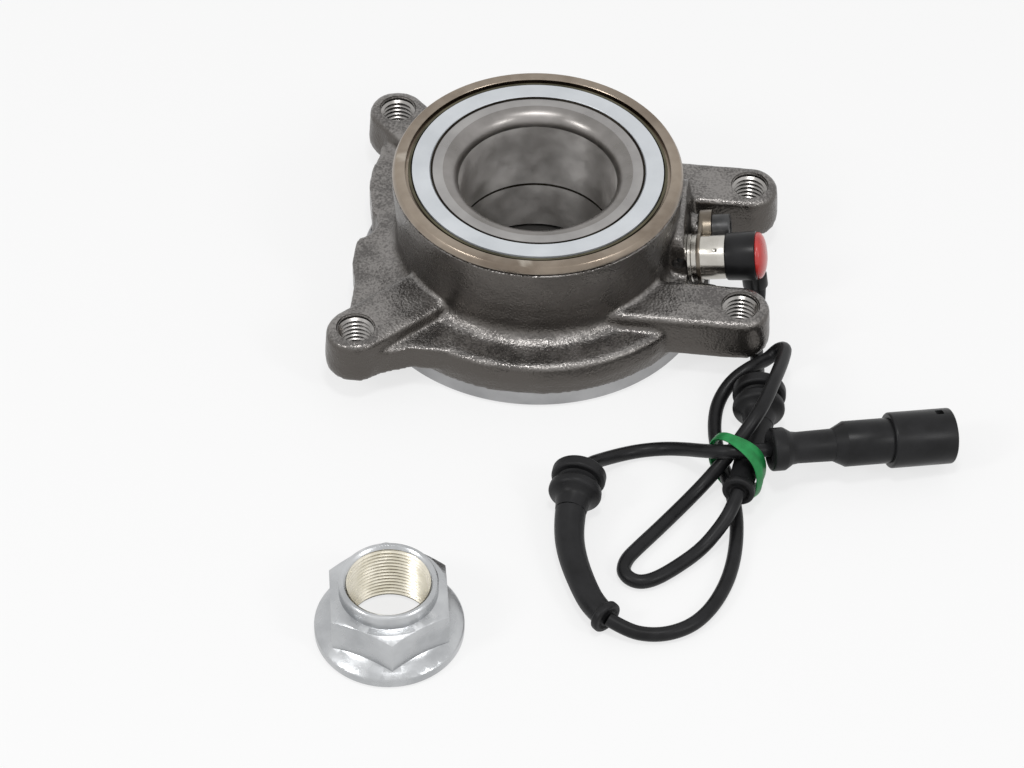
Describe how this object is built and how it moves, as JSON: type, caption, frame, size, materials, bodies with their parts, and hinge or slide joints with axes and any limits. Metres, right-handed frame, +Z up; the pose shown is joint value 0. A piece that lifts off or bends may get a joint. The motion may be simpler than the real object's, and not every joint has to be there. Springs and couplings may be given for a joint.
{
  "type": "wheel hub bearing unit",
  "caption": "Flanged wheel hub bearing unit with threaded ears, a wheel-speed sensor on a bundled lead, and a separate flanged axle nut.",
  "frame": {"origin": "on the bearing axis, at the foot of the locating spigot", "axes": "+Z up the bearing axis from the spigot to the open rim; +X towards the speed sensor, which sits between the two right-hand ears; +Y to the rear"},
  "size_m": [0.2091, 0.2464, 0.0524],
  "materials": {
    "forging": "shot-blasted forging, dark oxide",
    "bearing_steel": "ground steel",
    "ball_steel": "polished",
    "cage_plastic": "natural moulded polyamide",
    "toothed_steel": "pressed steel",
    "flinger_sheet": "bright rolled sheet",
    "carrier_sheet": "rolled sheet, tinted",
    "seal_rubber": "moulded",
    "moulding_black": "moulded",
    "sensor_metal": "nickel plated",
    "cap_red": "moulded",
    "screw_steel": "black oxide",
    "zinc_plate": "zinc plated",
    "cable_jacket": "extruded jacket",
    "grommet_rubber": "moulded",
    "connector_plastic": "moulded",
    "pin_metal": "tinned",
    "band_rubber": "elastic"
  },
  "bodies": {
    "housing": {"outer_ring": "forging", "seal_carrier_upper": "carrier_sheet", "seal_carrier_lower": "carrier_sheet", "seal_lip_upper": "seal_rubber", "seal_lip_lower": "seal_rubber", "sensor_probe": "moulding_black", "sensor_o_ring": "seal_rubber", "sensor_sleeve": "sensor_metal", "sensor_moulding": "moulding_black", "sensor_cap": "cap_red", "sensor_bracket": "sensor_metal", "sensor_screw": "screw_steel", "cable_sensor": "cable_jacket", "cable_middle": "cable_jacket", "cable_connector": "cable_jacket", "grommet_sensor": "grommet_rubber", "grommet_connector": "grommet_rubber", "sleeve_sensor": "grommet_rubber", "sleeve_connector": "grommet_rubber", "connector_boot": "grommet_rubber", "connector_shell": "connector_plastic", "connector_insert": "connector_plastic", "connector_pins": "pin_metal", "rubber_band": "band_rubber"},
    "hub_race": {"inner_ring_upper": "bearing_steel", "inner_ring_lower": "bearing_steel", "flinger_upper": "flinger_sheet", "flinger_lower": "flinger_sheet", "tone_ring": "toothed_steel"},
    "balls_set_upper": {"cage_upper": "cage_plastic", "balls_upper": "ball_steel"},
    "balls_set_lower": {"cage_lower": "cage_plastic", "balls_lower": "ball_steel"},
    "axle_nut": {"hub_nut": "zinc_plate"}
  },
  "joints": [
    {"name": "hub_spin", "type": "hinge", "parent": "housing", "child": "hub_race", "pos_m": [0, 0, 0.02], "axis": [0, 0, 1], "continuous": true},
    {"name": "upper_row_spin", "type": "hinge", "parent": "housing", "child": "balls_set_upper", "pos_m": [0, 0, 0.0395], "axis": [0, 0, 1], "continuous": true},
    {"name": "lower_row_spin", "type": "hinge", "parent": "housing", "child": "balls_set_lower", "pos_m": [0, 0, 0.0112], "axis": [0, 0, 1], "continuous": true},
    {"name": "nut_lift", "type": "slide", "parent": "housing", "child": "axle_nut", "axis": [0, 0, 1], "range_m": [0, 0.06]}
  ],
  "couplings": [
    {"joint": "upper_row_spin", "follows": "hub_spin", "ratio": 0.4388},
    {"joint": "lower_row_spin", "follows": "hub_spin", "ratio": 0.4388}
  ]
}
